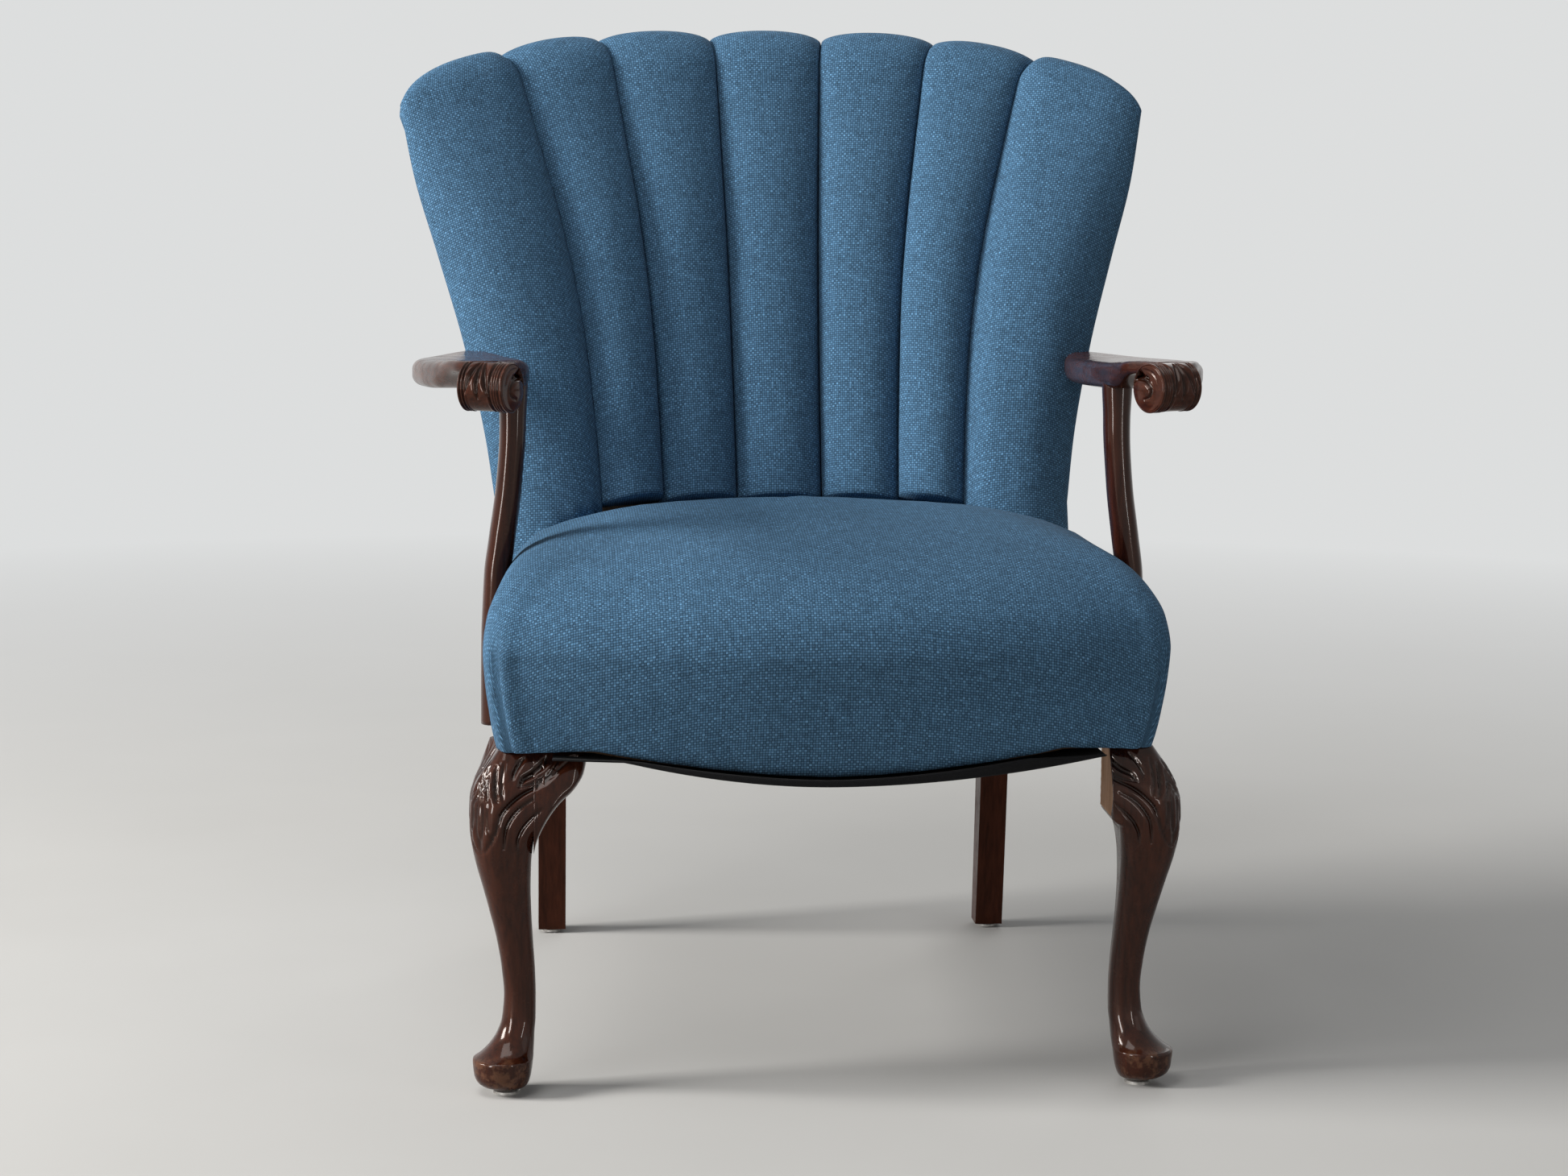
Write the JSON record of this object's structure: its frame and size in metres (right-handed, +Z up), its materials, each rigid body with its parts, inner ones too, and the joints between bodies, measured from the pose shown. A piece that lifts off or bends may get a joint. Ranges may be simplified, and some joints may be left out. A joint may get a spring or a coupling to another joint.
{
  "type": "upholstered shell armchair",
  "caption": "Upholstered armchair with a fluted shell back and rolled crest, a crowned sprung seat, open wooden arms with scrolled hands, cabriole front legs and raked rear legs.",
  "frame": {"origin": "on the floor, under the middle of the overall width and of the overall depth", "axes": "+Z up from the floor, the front of the seat faces -Y, +X is the side seen on the right of the picture"},
  "size_m": [0.6956, 0.8019, 0.866],
  "materials": {
    "show_wood": "glossy dark varnish, scuffed",
    "rear_leg_wood": "satin reddish brown stain",
    "frame_wood": "raw sawn",
    "blue_cloth": "coarse heathered weave, matte",
    "padding": "loose felted fibre",
    "jute": "plain jute weave",
    "underside_cloth": "thin black cloth, matte",
    "spring_steel": "dull drawn wire",
    "screw_steel": "zinc plated",
    "glide_metal": "worn pressed metal"
  },
  "bodies": {
    "root": {"front_leg_right": "show_wood", "front_leg_left": "show_wood", "knee_block_front_left": "show_wood", "knee_block_side_right": "show_wood", "knee_block_side_left": "show_wood", "arm_right": "show_wood", "arm_left": "show_wood", "arm_post_right": "show_wood", "arm_post_left": "show_wood", "rear_leg_right": "rear_leg_wood", "rear_leg_left": "rear_leg_wood", "front_rail": "frame_wood", "side_rail_right": "frame_wood", "side_rail_left": "frame_wood", "back_rail": "frame_wood", "corner_blocks": "frame_wood", "crest_rail": "frame_wood", "lower_back_rail": "frame_wood", "wing_post_right": "frame_wood", "wing_post_left": "frame_wood", "seat_cover": "blue_cloth", "flute_centre": "blue_cloth", "flute_inner_right": "blue_cloth", "flute_inner_left": "blue_cloth", "flute_outer_right": "blue_cloth", "flute_outer_left": "blue_cloth", "flute_wing_right": "blue_cloth", "flute_wing_left": "blue_cloth", "outside_back": "blue_cloth", "outside_wing_right": "blue_cloth", "outside_wing_left": "blue_cloth", "seat_padding": "padding", "back_padding": "padding", "seat_webbing": "jute", "back_webbing": "jute", "seat_burlap": "jute", "dust_cover": "underside_cloth", "seat_springs": "spring_steel", "corner_block_screws": "screw_steel", "arm_screws": "screw_steel", "arm_post_screws": "screw_steel", "front_glides": "glide_metal", "rear_glides": "glide_metal"}
  },
  "joints": []
}
